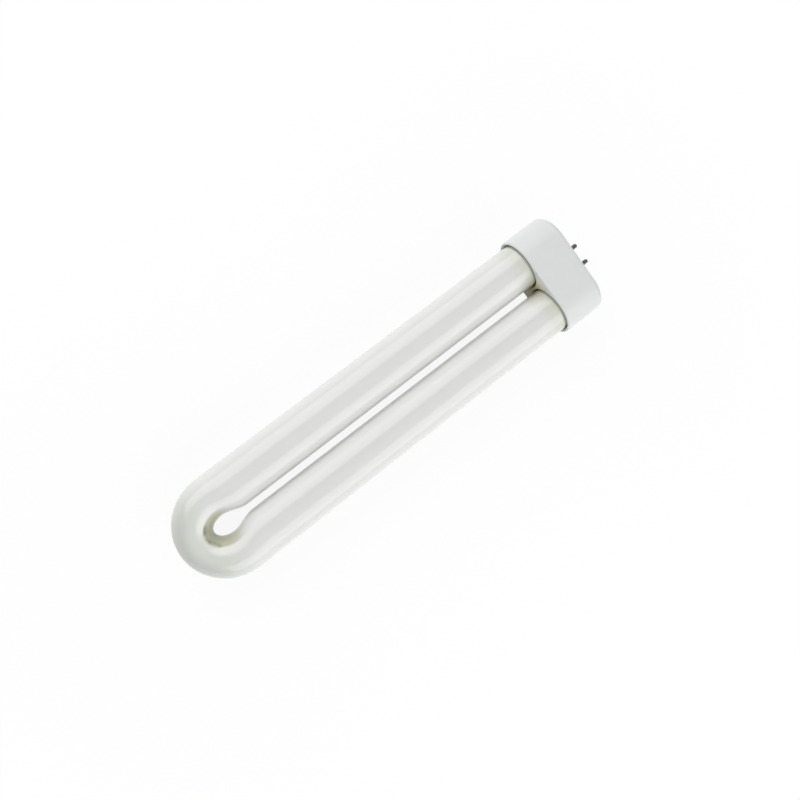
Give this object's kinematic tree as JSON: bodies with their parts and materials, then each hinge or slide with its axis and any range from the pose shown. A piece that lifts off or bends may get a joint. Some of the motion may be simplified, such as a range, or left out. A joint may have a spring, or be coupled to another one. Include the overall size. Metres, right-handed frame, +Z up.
{
  "type": "u-shaped uv lamp tube",
  "caption": "Fluorescent ultraviolet tube bent into a narrow U, with a pinched bend and a white moulded pin cap, for an insect killer.",
  "frame": {"origin": "centre of the cap's end face, in the plane where the pins leave it", "axes": "+X out along the pins, with the legs towards -X; Y across the two legs; +Z up, with the lamp lying flat"},
  "size_m": [0.262, 0.0588, 0.03],
  "materials": {
    "coated_glass": "gloss",
    "cap_plastic": "satin",
    "capping_cement": "matte",
    "pin_metal": "satin",
    "wire_metal": "satin"
  },
  "bodies": {
    "root": {"glass_tube": "coated_glass", "base_cap": "cap_plastic", "cement_ring_1": "capping_cement", "cement_ring_2": "capping_cement", "contact_pin_1": "pin_metal", "contact_pin_2": "pin_metal", "contact_pin_3": "pin_metal", "contact_pin_4": "pin_metal", "lead_wire_1": "wire_metal", "lead_wire_2": "wire_metal", "lead_wire_3": "wire_metal", "lead_wire_4": "wire_metal"}
  },
  "joints": []
}
